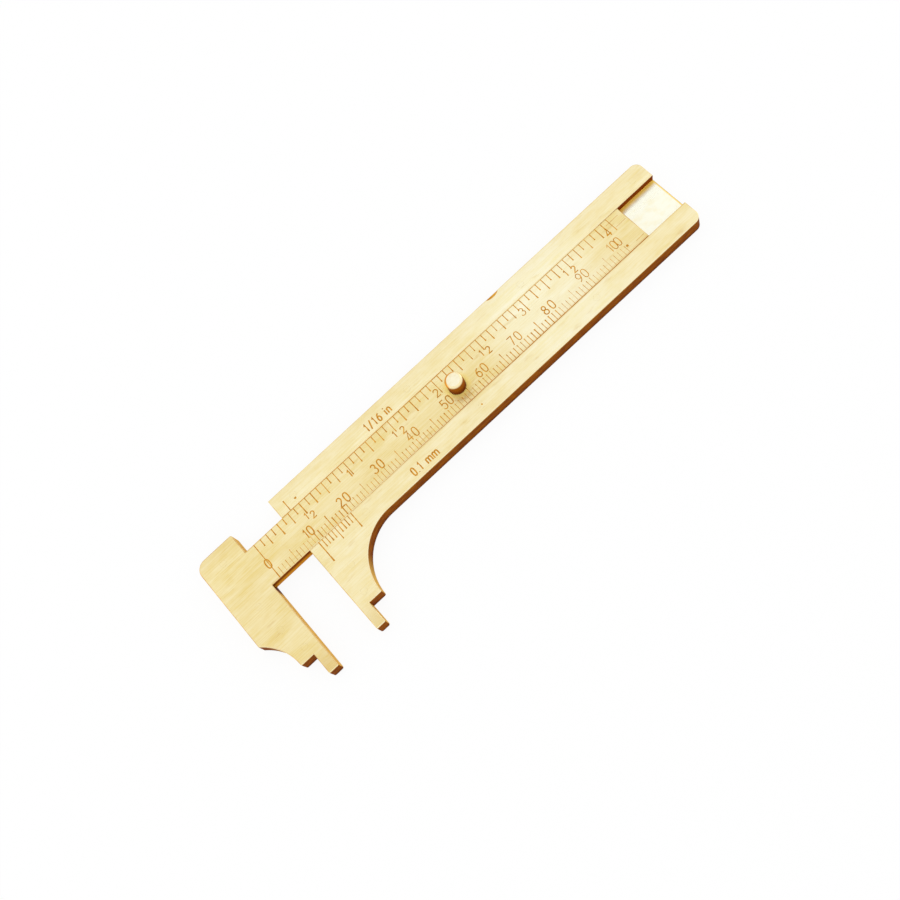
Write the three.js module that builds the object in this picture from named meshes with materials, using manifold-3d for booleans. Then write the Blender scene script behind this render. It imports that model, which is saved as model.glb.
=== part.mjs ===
// Brass sliding caliper, reading 0 to 100 mm and 0 to 4 inches, drawn 10.5 mm open.
// A channelled frame carries one jaw and the vernier, and a dovetailed slide carries the other jaw.
// Units are millimetres. Both halves are drawn closed, in the frame of the slide's scale: X runs along
// the scale from its zero line, Y across it towards the upper rail, and Z up from the back face.
// The frame's group is then moved by the opening, and the whole part is centred over its origin.

import * as THREE from "three";
import { mergeVertices } from "three/addons/utils/BufferGeometryUtils.js";
import Module from "manifold-3d";

const wasm = await Module();
wasm.setup();

// Gap between the jaws as drawn
const opening = 10.5;

// Frame
const bodyWidth = 20;
const frameLength = 107.8;
const backThickness = 1.6;
const railThickness = 2.2;
const frameCornerRadius = 1.75;

// Slide and its dovetail
const slideFaceWidth = 9.7;
const dovetailFlare = 0.25;
const runningGap = 0.05;
const faceSetback = 2.5;
const headWidth = 10.3;
const headOuterRadius = 2.5;
const headInnerRadius = 0.5;
const headRise = 0.15;

// Jaws
const jawDrop = 17.6;
const tipHeight = 5.3;
const stepWidth = 3.4;
const headTipWidth = 2.5;
const frameTipWidth = 2.3;
const headShoulderRadius = 12;

// Engraved lines
const lineWidth = 0.2;
const lineDepth = 0.12;
const inch = 25.4;
const inchCount = 4;
const sixteenths = 16;
const sixteenthLine = 1.95;
const eighthLine = 3;
const quarterLine = 3.2;
const inchLine = 3.85;
const millimetre = 1;
const millimetreCount = 100;
const millimetreLine = 2.05;
const fiveLine = 3.35;
const tenLine = 2.1;
const vernierPitch = 0.9;
const vernierCount = 10;
const vernierLine = 2.15;
const vernierZeroLine = 5.2;
const vernierFiveLine = 3.2;
const vernierTenLine = 4.1;
const indexLine = 2.8;

// Flush rivets
const rivetRadius = 0.5;
const rivetHeadRadius = 0.75;
const rivetHeadDepth = 0.35;
const fitGap = 0.02;
const railRivetEdge = 2.8;
const upperRivetCount = 4;
const upperRivetStart = 5;
const upperRivetEnd = 3.8;
const lowerRivetCount = 3;
const lowerRivetStart = 14;
const jawRivetRootInset = 4.6;
const jawRivetRootDrop = 3.6;
const jawRivetTipInset = 3;
const jawRivetTipDrop = 9.8;
const headRivetInset = 5.1;
const headRivetEdge = 3.6;

// Guide pin in the frame, and the groove and stop pin of the slide that meet it
const guidePinRadius = 0.5;
const guidePinStand = 0.95;
const guidePinInset = 2.1;
const stopPinRadius = 0.45;
const stopPinInset = 4.7;
const grooveOffset = 3.25;
const grooveDepth = 1.1;
const grooveSideGap = 0.1;

// Leaf spring in the floor of the channel
const pocketLength = 18;
const pocketWidth = 4.4;
const pocketDepth = 0.85;
const pocketStart = 2.9;
const pocketOffset = 1;
const springWidth = 3.6;
const springThickness = 0.25;
const springEndGap = 0.6;
const springFlat = 3.3;
const springTip = 2.4;
const springTipDip = 0.26;
const springRivetInset = 1.5;
const springRivetRadius = 0.45;
const springRivetHeadRadius = 0.8;
const springRivetHeadHeight = 0.2;

// Thumb knob
const knobRadius = 2;
const knobHeight = 3.7;
const knobEdgeRadius = 0.4;
const knobPlace = 54;
const knobOffset = -0.3;
const knobShankRadius = 0.9;
const knobFootRadius = 1.3;
const knobFootDepth = 0.5;

// How far cutters run past the faces that they cut
const overrun = 1;

// Counts of facets
const cornerFacets = 12;
const rivetFacets = 12;
const knobFacets = 32;
const knobEdgeFacets = 4;
const springSteps = 12;
const springTipSteps = 4;

// Derived places
const halfWidth = bodyWidth / 2;
const faceTop = backThickness + railThickness;
const faceX = -faceSetback;
const frameLeft = faceX;
const frameRight = frameLeft + frameLength;
const slideRight = frameRight;
const headLeft = faceX - headWidth;
const headTopY = halfWidth + headRise;
const tipY = -halfWidth - jawDrop;
const stepY = tipY + tipHeight;
const frameShoulderRadius = -halfWidth - stepY;
const slideFaceHalf = slideFaceWidth / 2;
const slideFloor = backThickness + runningGap;
const slideThickness = faceTop - slideFloor;
const guidePinX = frameLeft + guidePinInset;
const stopPinX = slideRight - stopPinInset;
const railRivetY = halfWidth - railRivetEdge;
const headRivetY = halfWidth - headRivetEdge;
const railRivetPitch = (frameLength - upperRivetStart - upperRivetEnd) / (upperRivetCount - 1);
const pocketFloor = backThickness - pocketDepth;

const brass = { color: 0xe6cf8c, roughness: 0.35, metalness: 1 };
const paleBrass = { color: 0xf1e3b4, roughness: 0.25, metalness: 1 };
const darkBrass = { color: 0xc79a4a, roughness: 0.4, metalness: 1 };
const bronze = { color: 0xb9783a, roughness: 0.35, metalness: 1 };

function toSolid(geometry) {
  const plain = geometry.clone();
  plain.deleteAttribute("normal");
  plain.deleteAttribute("uv");
  const merged = mergeVertices(plain);
  const corners = merged.index.array;
  const kept = [];
  for (let i = 0; i < corners.length; i += 3) {
    const [a, b, c] = corners.slice(i, i + 3);
    // Triangles that shrank to a line at an axis are left out
    if (a !== b && b !== c && c !== a) kept.push(a, b, c);
  }
  return new wasm.Manifold(new wasm.Mesh({
    numProp: 3,
    vertProperties: new Float32Array(merged.attributes.position.array),
    triVerts: new Uint32Array(kept),
  }));
}

function toMesh(name, solid, finish) {
  const result = solid.getMesh();
  const geometry = new THREE.BufferGeometry();
  geometry.setAttribute("position", new THREE.BufferAttribute(new Float32Array(result.vertProperties), 3));
  geometry.setIndex(new THREE.BufferAttribute(new Uint32Array(result.triVerts), 1));
  geometry.computeVertexNormals();
  const mesh = new THREE.Mesh(geometry, new THREE.MeshStandardMaterial(finish));
  mesh.name = name;
  return mesh;
}

function plate(shape, bottom, top) {
  const settings = { depth: top - bottom, bevelEnabled: false, curveSegments: cornerFacets };
  return toSolid(new THREE.ExtrudeGeometry(shape, settings).translate(0, 0, bottom));
}

function block(left, right, near, far, bottom, top) {
  const box = new THREE.BoxGeometry(right - left, far - near, top - bottom);
  return toSolid(box.translate((left + right) / 2, (near + far) / 2, (bottom + top) / 2));
}

// A section drawn in Y and Z, run along X
function bar(section, left, right) {
  const shape = new THREE.Shape(section.map(([y, z]) => new THREE.Vector2(y, z)));
  const geometry = new THREE.ExtrudeGeometry(shape, { depth: right - left, bevelEnabled: false });
  const alongX = new THREE.Matrix4().makeBasis(
    new THREE.Vector3(0, 1, 0),
    new THREE.Vector3(0, 0, 1),
    new THREE.Vector3(1, 0, 0),
  );
  return toSolid(geometry.applyMatrix4(alongX).translate(left, 0, 0));
}

// A section drawn in X and Z, run along Y
function strip(section, near, far) {
  const shape = new THREE.Shape(section.map(([x, z]) => new THREE.Vector2(x, z)));
  const geometry = new THREE.ExtrudeGeometry(shape, { depth: far - near, bevelEnabled: false });
  return toSolid(geometry.rotateX(Math.PI / 2).translate(0, far, 0));
}

// A round piece about an upright axis, from its radii and heights, lowest first
function turned(profile, facets, x, y) {
  const points = profile.map(([radius, height]) => new THREE.Vector2(radius, height));
  const geometry = new THREE.LatheGeometry(points, facets);
  return toSolid(geometry.rotateX(Math.PI / 2).translate(x, y, 0));
}

function frameOutline() {
  const shoulderX = frameLeft + frameTipWidth + stepWidth + frameShoulderRadius;
  const cornerX = frameRight - frameCornerRadius;
  const cornerY = halfWidth - frameCornerRadius;
  const shape = new THREE.Shape();
  shape.moveTo(frameLeft, halfWidth);
  shape.lineTo(frameLeft, tipY);
  shape.lineTo(frameLeft + frameTipWidth, tipY);
  shape.lineTo(frameLeft + frameTipWidth, stepY);
  shape.absarc(shoulderX, stepY, frameShoulderRadius, Math.PI, Math.PI / 2, true);
  shape.absarc(cornerX, -cornerY, frameCornerRadius, -Math.PI / 2, 0, false);
  shape.absarc(cornerX, cornerY, frameCornerRadius, 0, Math.PI / 2, false);
  shape.closePath();
  return shape;
}

function headOutline() {
  const shoulderX = faceX - headTipWidth - stepWidth - headShoulderRadius;
  const shoulderAngle = Math.acos((headLeft - shoulderX) / headShoulderRadius);
  const shape = new THREE.Shape();
  shape.moveTo(faceX - headTipWidth, stepY);
  shape.lineTo(faceX - headTipWidth, tipY);
  shape.lineTo(faceX, tipY);
  shape.absarc(faceX - headInnerRadius, headTopY - headInnerRadius, headInnerRadius, 0, Math.PI / 2, false);
  shape.absarc(headLeft + headOuterRadius, headTopY - headOuterRadius, headOuterRadius,
    Math.PI / 2, Math.PI, false);
  shape.absarc(shoulderX, stepY, headShoulderRadius, shoulderAngle, 0, true);
  shape.closePath();
  return shape;
}

// Half the width of the dovetail at a height, and of the channel with its gap
function dovetailHalf(height) {
  return slideFaceHalf + dovetailFlare * (faceTop - height) / slideThickness;
}

function channelHalf(height) {
  return dovetailHalf(height) + runningGap;
}

// A graver's line with sloping walls, cut into the upper face
function engraved(x, near, far) {
  const spread = (lineWidth / 2) * (lineDepth + overrun) / lineDepth;
  const section = [
    [x, faceTop - lineDepth],
    [x + spread, faceTop + overrun],
    [x - spread, faceTop + overrun],
  ];
  return strip(section, near, far);
}

// A rivet peened flush into a countersink at both ends
function rivetProfile(bottom, top) {
  return [
    [0, bottom],
    [rivetHeadRadius, bottom],
    [rivetRadius, bottom + rivetHeadDepth],
    [rivetRadius, top - rivetHeadDepth],
    [rivetHeadRadius, top],
    [0, top],
  ];
}

// The hole for a turned piece: wider by the fit gap, and run on past both ends
function holeProfile(profile) {
  const wider = profile.map(([radius, height]) => [radius > 0 ? radius + fitGap : 0, height]);
  const first = wider[1];
  const last = wider[wider.length - 2];
  return [
    [0, first[1] - overrun],
    [first[0], first[1] - overrun],
    ...wider.slice(1, -1),
    [last[0], last[1] + overrun],
    [0, last[1] + overrun],
  ];
}

const rivet = rivetProfile(0, faceTop);

function rivets(base, places) {
  return places.map(([x, y], i) => ({
    name: `${base}_${i + 1}`,
    x,
    y,
  }));
}

function row(count, start, y) {
  return Array.from({ length: count }, (unused, i) => [frameLeft + start + i * railRivetPitch, y]);
}

const upperRivets = rivets("upper_rail_rivet", row(upperRivetCount, upperRivetStart, railRivetY));
const lowerRivets = rivets("lower_rail_rivet", row(lowerRivetCount, lowerRivetStart, -railRivetY));
const frameJawRivets = rivets("frame_jaw_rivet", [
  [frameLeft + jawRivetRootInset, -halfWidth - jawRivetRootDrop],
  [frameLeft + jawRivetTipInset, -halfWidth - jawRivetTipDrop],
]);
const headRivets = rivets("slide_head_rivet", [
  [faceX - headRivetInset, headRivetY],
  [faceX - headRivetInset, -headRivetY],
  [faceX - jawRivetRootInset, -halfWidth - jawRivetRootDrop],
  [faceX - jawRivetTipInset, -halfWidth - jawRivetTipDrop],
]);

function drilled(solid, places) {
  return places.reduce(
    (left, place) => left.subtract(turned(holeProfile(rivet), rivetFacets, place.x, place.y)),
    solid,
  );
}

function rivetMeshes(places) {
  return places.map((place) => toMesh(place.name, turned(rivet, rivetFacets, place.x, place.y), brass));
}

// Guide pin: countersunk foot in the back plate, standing up into the groove of the slide
const guidePinTop = backThickness + guidePinStand;
const guidePinProfile = [
  [0, 0],
  [rivetHeadRadius, 0],
  [guidePinRadius, rivetHeadDepth],
  [guidePinRadius, guidePinTop],
  [0, guidePinTop],
];

// Leaf spring: flat at its riveted end, lifted to the slide's underside, and dipping at its tip
const pocketLeft = frameLeft + pocketStart;
const pocketRight = pocketLeft + pocketLength;
const springLeft = pocketLeft + springEndGap;
const springRight = pocketRight - springEndGap;
const springFlatEnd = springRight - springFlat;
const springCrest = springLeft + springTip;
const springLift = slideFloor - fitGap - springThickness - pocketFloor;
const springRivetX = springRight - springRivetInset;
const springTop = pocketFloor + springThickness;

function springHeights() {
  const path = [[springRight, pocketFloor]];
  for (let i = 0; i <= springSteps; i += 1) {
    const share = i / springSteps;
    const rise = springLift * (1 - Math.cos(Math.PI * share)) / 2;
    path.push([springFlatEnd + (springCrest - springFlatEnd) * share, pocketFloor + rise]);
  }
  for (let i = 1; i <= springTipSteps; i += 1) {
    const share = i / springTipSteps;
    path.push([springCrest - springTip * share, pocketFloor + springLift - springTipDip * share * share]);
  }
  return path;
}

const springRivetProfile = [
  [0, 0],
  [springRivetHeadRadius, 0],
  [springRivetRadius, rivetHeadDepth],
  [springRivetRadius, springTop],
  [springRivetHeadRadius, springTop],
  [springRivetHeadRadius, springTop + springRivetHeadHeight],
  [0, springTop + springRivetHeadHeight],
];
const springRivetHole = [
  [0, -overrun],
  [springRivetHeadRadius + fitGap, -overrun],
  [springRivetHeadRadius + fitGap, 0],
  [springRivetRadius + fitGap, rivetHeadDepth],
  [springRivetRadius + fitGap, springTop + overrun],
  [0, springTop + overrun],
];

function backPlate() {
  const outline = plate(frameOutline(), 0, backThickness);
  const near = pocketOffset - pocketWidth / 2;
  const far = pocketOffset + pocketWidth / 2;
  const pocket = block(pocketLeft, pocketRight, near, far, pocketFloor, backThickness + overrun);
  const pinHole = turned(holeProfile(guidePinProfile), rivetFacets, guidePinX, -grooveOffset);
  const springHole = turned(springRivetHole, rivetFacets, springRivetX, pocketOffset);
  const open = outline.subtract(pocket).subtract(pinHole).subtract(springHole);
  return drilled(open, [...upperRivets, ...lowerRivets, ...frameJawRivets]);
}

// The frame's upper layer with its dovetailed channel, before it is parted into two rails
function railLayer() {
  const low = backThickness - overrun;
  const high = faceTop + overrun;
  const channel = bar([
    [-channelHalf(low), low],
    [channelHalf(low), low],
    [channelHalf(high), high],
    [-channelHalf(high), high],
  ], frameLeft - overrun, frameRight + overrun);
  return plate(frameOutline(), backThickness, faceTop).subtract(channel);
}

function upperRail() {
  const lower = block(frameLeft - overrun, frameRight + overrun, tipY - overrun, 0, 0, faceTop + overrun);
  const index = engraved(0, 0, channelHalf(faceTop) + indexLine);
  return drilled(railLayer().subtract(lower).subtract(index), upperRivets);
}

function vernierLength(i) {
  if (i === 0) return vernierZeroLine;
  if (i === vernierCount) return vernierTenLine;
  return i === vernierCount / 2 ? vernierFiveLine : vernierLine;
}

function lowerRail() {
  const upper = block(frameLeft - overrun, frameRight + overrun, 0, halfWidth + overrun, 0, faceTop + overrun);
  let rail = railLayer().subtract(upper);
  for (let i = 0; i <= vernierCount; i += 1) {
    rail = rail.subtract(engraved(i * vernierPitch, -channelHalf(faceTop) - vernierLength(i), 0));
  }
  return drilled(rail, [...lowerRivets, ...frameJawRivets]);
}

function leafSpring() {
  const under = springHeights();
  const over = under.map(([x, z]) => [x, z + springThickness]).reverse();
  const near = pocketOffset - springWidth / 2;
  const blade = strip([...under, ...over], near, near + springWidth);
  return blade.subtract(turned(springRivetHole, rivetFacets, springRivetX, pocketOffset));
}

function inchLength(i) {
  if (i % sixteenths === 0) return inchLine;
  if (i % (sixteenths / 4) === 0) return quarterLine;
  return i % (sixteenths / 8) === 0 ? eighthLine : sixteenthLine;
}

function millimetreLength(i) {
  if (i % 10 === 0) return tenLine;
  return i % 5 === 0 ? fiveLine : millimetreLine;
}

// The two scales: sixteenths of an inch from the upper edge, millimetres from the lower edge
function withScales(solid) {
  let cut = solid.subtract(engraved(0, -slideFaceHalf - overrun, slideFaceHalf + overrun));
  for (let i = 1; i <= inchCount * sixteenths; i += 1) {
    const near = slideFaceHalf - inchLength(i);
    cut = cut.subtract(engraved(i * inch / sixteenths, near, slideFaceHalf + overrun));
  }
  for (let i = 1; i <= millimetreCount; i += 1) {
    const far = -slideFaceHalf + millimetreLength(i);
    cut = cut.subtract(engraved(i * millimetre, -slideFaceHalf - overrun, far));
  }
  return cut;
}

// Knob: a turned head on the slide's face, and a shank peened into a countersink under the slide
const knobTop = faceTop + knobHeight;
const knobFoot = [
  [0, slideFloor],
  [knobFootRadius, slideFloor],
  [knobShankRadius, slideFloor + knobFootDepth],
  [knobShankRadius, faceTop],
];

function knobProfile() {
  const edge = [];
  for (let i = 0; i <= knobEdgeFacets; i += 1) {
    const angle = (Math.PI / 2) * (i / knobEdgeFacets);
    edge.push([
      knobRadius - knobEdgeRadius * (1 - Math.cos(angle)),
      knobTop - knobEdgeRadius * (1 - Math.sin(angle)),
    ]);
  }
  return [...knobFoot, [knobRadius, faceTop], ...edge, [0, knobTop]];
}

const stopPinProfile = [
  [0, slideFloor],
  [stopPinRadius, slideFloor],
  [stopPinRadius, faceTop],
  [0, faceTop],
];

function slideBar() {
  const dovetail = bar([
    [-dovetailHalf(slideFloor), slideFloor],
    [dovetailHalf(slideFloor), slideFloor],
    [dovetailHalf(faceTop), faceTop],
    [-dovetailHalf(faceTop), faceTop],
  ], faceX - overrun, slideRight);
  const grooveHalf = guidePinRadius + grooveSideGap;
  const groove = block(
    guidePinX - grooveHalf, slideRight + overrun,
    -grooveOffset - grooveHalf, -grooveOffset + grooveHalf,
    slideFloor - overrun, slideFloor + grooveDepth,
  );
  const knobHole = turned(holeProfile([...knobFoot, [0, faceTop]]), knobFacets, knobPlace, knobOffset);
  const stopHole = turned(holeProfile(stopPinProfile), rivetFacets, stopPinX, -grooveOffset);
  const whole = plate(headOutline(), slideFloor, faceTop).add(dovetail);
  const cut = whole.subtract(groove).subtract(knobHole).subtract(stopHole);
  return drilled(withScales(cut), headRivets);
}

function jawBacking() {
  return drilled(plate(headOutline(), 0, slideFloor), headRivets);
}

const frame = new THREE.Group();
frame.add(
  toMesh("back_plate", backPlate(), paleBrass),
  toMesh("upper_rail", upperRail(), brass),
  toMesh("lower_rail", lowerRail(), brass),
  toMesh("guide_pin", turned(guidePinProfile, rivetFacets, guidePinX, -grooveOffset), darkBrass),
  toMesh("leaf_spring", leafSpring(), bronze),
  toMesh("spring_rivet", turned(springRivetProfile, rivetFacets, springRivetX, pocketOffset), darkBrass),
  ...rivetMeshes([...upperRivets, ...lowerRivets, ...frameJawRivets]),
);
frame.position.x = opening;

const slide = new THREE.Group();
slide.add(
  toMesh("slide_bar", slideBar(), brass),
  toMesh("jaw_backing", jawBacking(), brass),
  toMesh("stop_pin", turned(stopPinProfile, rivetFacets, stopPinX, -grooveOffset), darkBrass),
  toMesh("thumb_knob", turned(knobProfile(), knobFacets, knobPlace, knobOffset), darkBrass),
  ...rivetMeshes(headRivets),
);

// The origin lies on the table, under the middle of the part's footprint
const caliper = new THREE.Group();
caliper.add(frame, slide);
caliper.position.set(-(headLeft + frameRight + opening) / 2, -(tipY + headTopY) / 2, 0);

export default caliper;
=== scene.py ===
"""Brass sliding caliper lying on a pale table, 10.5 mm open.

Two riveted halves: a channelled frame with a jaw and a vernier, and a dovetailed slide with the other jaw.
X runs along the slide's scale, Y across it towards the inch scale, and Z up. Sizes here are millimetres,
and a finished piece is scaled to metres.
"""

import math
import random

import bmesh
import bpy
from mathutils import Matrix, Quaternion, Vector


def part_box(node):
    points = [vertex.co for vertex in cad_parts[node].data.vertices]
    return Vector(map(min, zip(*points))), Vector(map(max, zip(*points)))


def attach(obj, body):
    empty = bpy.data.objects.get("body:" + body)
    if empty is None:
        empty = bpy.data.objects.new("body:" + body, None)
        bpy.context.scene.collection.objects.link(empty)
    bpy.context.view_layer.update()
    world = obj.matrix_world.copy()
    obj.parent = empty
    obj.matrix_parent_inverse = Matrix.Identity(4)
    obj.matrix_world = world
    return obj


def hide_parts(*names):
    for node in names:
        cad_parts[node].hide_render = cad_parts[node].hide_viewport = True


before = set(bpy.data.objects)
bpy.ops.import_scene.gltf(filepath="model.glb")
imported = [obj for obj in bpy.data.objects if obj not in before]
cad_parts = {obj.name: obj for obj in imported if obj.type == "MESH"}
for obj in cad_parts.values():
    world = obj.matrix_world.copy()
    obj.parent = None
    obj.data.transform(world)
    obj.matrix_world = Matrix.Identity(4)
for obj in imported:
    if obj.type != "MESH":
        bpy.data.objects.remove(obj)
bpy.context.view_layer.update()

MM = 0.001
X, Y, Z = range(3)


def span(node, axis):
    """How far a node reaches along an axis."""
    low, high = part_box(node)
    return low[axis] / MM, high[axis] / MM


def centre(node):
    return sum(span(node, X)) / 2, sum(span(node, Y)) / 2


def radius_of(node):
    left, right = span(node, X)
    return (right - left) / 2


# Sizes taken from the frame
FRAME_LEFT, FRAME_RIGHT = span("back_plate", X)
TIP_Y, RAIL_TOP_Y = span("back_plate", Y)
BACK_TOP = span("back_plate", Z)[1]
HEAD_LEFT, SLIDE_RIGHT = span("slide_bar", X)
HEAD_TOP_Y = span("slide_bar", Y)[1]
SLIDE_FLOOR, FACE_TOP = span("slide_bar", Z)

# Driving sizes of the two halves
BODY_WIDTH = 20
CORNER_RADIUS = 1.75
SLIDE_FACE_WIDTH = 9.7
DOVETAIL_FLARE = 0.25
SEAM_GAP = 0.02
FACE_SETBACK = 2.5
HEAD_WIDTH = 10.3
HEAD_OUTER_RADIUS = 2.5
HEAD_INNER_RADIUS = 0.5
HEAD_SHOULDER_RADIUS = 12
TIP_HEIGHT = 5.3
STEP_WIDTH = 3.4
HEAD_TIP_WIDTH = 2.5
FRAME_TIP_WIDTH = 2.3
TIP_CORNER_RADIUS = 0.25
BACK_TIP_RADIUS = 0.4
GROOVE_OFFSET = 3.25
GROOVE_WIDTH = 1.2
GROOVE_DEPTH = 1.1
POCKET_LENGTH = 18
POCKET_WIDTH = 4.4
POCKET_DEPTH = 0.85
POCKET_START = 2.9
POCKET_OFFSET = 1

# Rounding of the plates' rims, and its steps
FACE_ROUND = 0.15
SEAM_ROUND = 0.05
BACK_ROUND = 0.15
LOW_STEPS = 4
HIGH_STEPS = 3

# Rivets and pins
RIVET_RADIUS = 0.5
RIVET_HEAD_DEPTH = 0.35
FIT_GAP = 0.01
PUNCH_RADIUS = 0.2
PUNCH_DEPTH = 0.08
STOP_MARK_RADIUS = 0.3
STOP_MARK_DEPTH = 0.2
STOP_PIN_RADIUS = 0.45
KNOB_SHANK_RADIUS = 0.9
KNOB_FOOT_RADIUS = 1.3
KNOB_FOOT_DEPTH = 0.5
KNOB_EDGE_RADIUS = 0.55

# Facets of curves and round pieces
TIP_FACETS = 6
INNER_FACETS = 12
ARC_FACETS = 24
SHOULDER_FACETS = 40
ROUND_FACETS = 48
KNOB_FACETS = 96

# Angles in degrees above which an edge stays sharp
SHARP = 25
SPRING_SHARP = 40
KNOB_SHARP = 20

# Flatness of a level face, and the edges closed up as too short
LEVEL_SHARE = 0.9999
SLIVER = 0.0002

# Places worked out from the sizes
MID_Y = RAIL_TOP_Y - BODY_WIDTH / 2
LOW_RAIL_Y = MID_Y - BODY_WIDTH / 2
STEP_Y = TIP_Y + TIP_HEIGHT
FACE_X = HEAD_LEFT + HEAD_WIDTH
ZERO_X = FACE_X + FACE_SETBACK
OPENING = FRAME_LEFT - FACE_X
SLIDE_HALF = SLIDE_FACE_WIDTH / 2
BAR_TOP, BAR_FOOT = MID_Y + SLIDE_HALF, MID_Y - SLIDE_HALF
KNOB_TOP = span("thumb_knob", Z)[1]

# Kinds of surface, in the order of each piece's material slots
FACE, EDGE, WALL, CUT, SEAM, INNER = range(6)


# Colour and finish

def srgb(red, green, blue):
    """Shader colour of an sRGB colour given in steps of 255."""
    shares = [value / 255 for value in (red, green, blue)]
    return tuple(s / 12.92 if s <= 0.04045 else ((s + 0.055) / 1.055) ** 2.4 for s in shares) + (1.0,)


class Finish:
    """A material's node tree, with short calls for the nodes that they share."""

    def __init__(self, name, roughness=0.35, metallic=1.0, gloss=0.5):
        self.material = bpy.data.materials.new(name)
        self.material.use_nodes = True
        self.nodes = self.material.node_tree.nodes
        self.links = self.material.node_tree.links
        self.shader = self.nodes["Principled BSDF"]
        values = (("Metallic", metallic), ("Roughness", roughness), ("Specular IOR Level", gloss))
        for socket, value in values:
            self.shader.inputs[socket].default_value = value
        self.source = self.nodes.new("ShaderNodeTexCoord")

    def noise(self, per_mm, detail=4.0, offset=0.0):
        """Noise with so many features to the millimetre along X, Y and Z."""
        mapping = self.nodes.new("ShaderNodeMapping")
        mapping.inputs["Scale"].default_value = [count / MM for count in per_mm]
        mapping.inputs["Location"].default_value = (offset, offset, offset)
        self.links.new(self.source.outputs["Object"], mapping.inputs["Vector"])
        texture = self.nodes.new("ShaderNodeTexNoise")
        texture.inputs["Scale"].default_value = 1.0
        texture.inputs["Detail"].default_value = detail
        self.links.new(mapping.outputs["Vector"], texture.inputs["Vector"])
        return texture.outputs["Fac"]

    def spread(self, value, low, high, to_low=0.0, to_high=1.0):
        """The value stretched from one range to another, and held inside it."""
        node = self.nodes.new("ShaderNodeMapRange")
        node.interpolation_type = "SMOOTHSTEP"
        ends = (("From Min", low), ("From Max", high), ("To Min", to_low), ("To Max", to_high))
        for socket, number in ends:
            node.inputs[socket].default_value = number
        self.links.new(value, node.inputs["Value"])
        return node.outputs["Result"]

    def math(self, operation, *values):
        node = self.nodes.new("ShaderNodeMath")
        node.operation = operation
        for socket, value in zip(node.inputs, values):
            if isinstance(value, (int, float)):
                socket.default_value = value
            else:
                self.links.new(value, socket)
        return node.outputs["Value"]

    def mix(self, share, first, second):
        """Mixes two colours, each an output or a plain colour, by a share."""
        node = self.nodes.new("ShaderNodeMix")
        node.data_type = "RGBA"
        self.links.new(share, node.inputs["Factor"])
        inputs = [s for s in node.inputs if s.type == "RGBA"]
        for socket, colour in zip(inputs, (first, second)):
            if isinstance(colour, tuple):
                socket.default_value = colour
            else:
                self.links.new(colour, socket)
        return next(s for s in node.outputs if s.type == "RGBA")

    def part_of(self, source, axis):
        """One component of the object's own coordinates or normal."""
        node = self.nodes.new("ShaderNodeSeparateXYZ")
        self.links.new(self.source.outputs[source], node.inputs["Vector"])
        return node.outputs[axis]

    def along(self, axis, low, high, to_low=0.0, to_high=1.0):
        """A share that follows a place on the part, in millimetres."""
        return self.spread(self.part_of("Object", axis), low * MM, high * MM, to_low, to_high)

    def off(self, axis, place, low, high):
        """A share that grows with the distance from a place along an axis, in millimetres."""
        way = self.math("SUBTRACT", self.part_of("Object", axis), place * MM)
        return self.spread(self.math("ABSOLUTE", way), low * MM, high * MM)

    def round_axis(self, x, y, low, high, to_low, to_high):
        """A share that follows the distance from an upright axis, in millimetres."""
        away_x = self.math("SUBTRACT", self.part_of("Object", "X"), x * MM)
        away_y = self.math("SUBTRACT", self.part_of("Object", "Y"), y * MM)
        squares = self.math("ADD", self.math("POWER", away_x, 2), self.math("POWER", away_y, 2))
        return self.spread(self.math("SQRT", squares), low * MM, high * MM, to_low, to_high)

    def endwise(self):
        """How far a side faces along X: 1 on the jaws' faces."""
        across = self.part_of("Normal", "X")
        return self.spread(self.math("MULTIPLY", across, across), *ENDWISE)

    def colour(self, output):
        self.links.new(output, self.shader.inputs["Base Color"])

    def metallic(self, output):
        self.links.new(output, self.shader.inputs["Metallic"])

    def roughness(self, output):
        self.links.new(output, self.shader.inputs["Roughness"])

    def bump(self, height, depth, strength=1.0):
        node = self.nodes.new("ShaderNodeBump")
        node.inputs["Distance"].default_value = depth * MM
        node.inputs["Strength"].default_value = strength
        self.links.new(height, node.inputs["Height"])
        self.links.new(node.outputs["Normal"], self.shader.inputs["Normal"])


# Zones from one place to another, and where given the shares of a tone there
UPPER_HALF = (MID_Y - 1, MID_Y + 1)
RAIL_BROWN = (BAR_FOOT, BAR_TOP, 0.06, 0)
TIP_BROWN = (TIP_Y + 1, STEP_Y + 2, 0.3, 0)
HEAD_BROWN = (HEAD_TOP_Y - 5, HEAD_TOP_Y, 0, 0.12)
PAST_HEAD = (FACE_X - 0.1, FACE_X + 0.1)
SEAM_BROWN = (*UPPER_HALF, 0.3, 0.1)
SEAM_BROWN_REACH = (0.15, 0.5)
# A painted highlight on the faces, palest at this place along X and fading within these reaches
HIGHLIGHT_X = ZERO_X + 80
HIGHLIGHT_REACH = (4, 22)
# Painted reflection of the knob on the slide: full within the first radius from its axis, gone at the second
KNOB_GLOW = (2, 3.6, 1, 0)
UPPER_STAIN_END = (HIGHLIGHT_X - 22, HIGHLIGHT_X - 12)
LOWER_DIRT_START = (FRAME_LEFT + 8, FRAME_LEFT + 60)
IN_FRAME = (FRAME_LEFT - 0.2, FRAME_LEFT)
LOWER_SHEET = (0, BACK_TOP, 0.7, 0)
UPPER_RIM = (FACE_TOP - 0.6, FACE_TOP - FACE_ROUND, 0, 0.5)
UNDER_RAIL = (BAR_FOOT - 3, BAR_FOOT - 1.2)
HEAD_FACE_REACH = (0.5, 1.5)
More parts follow.
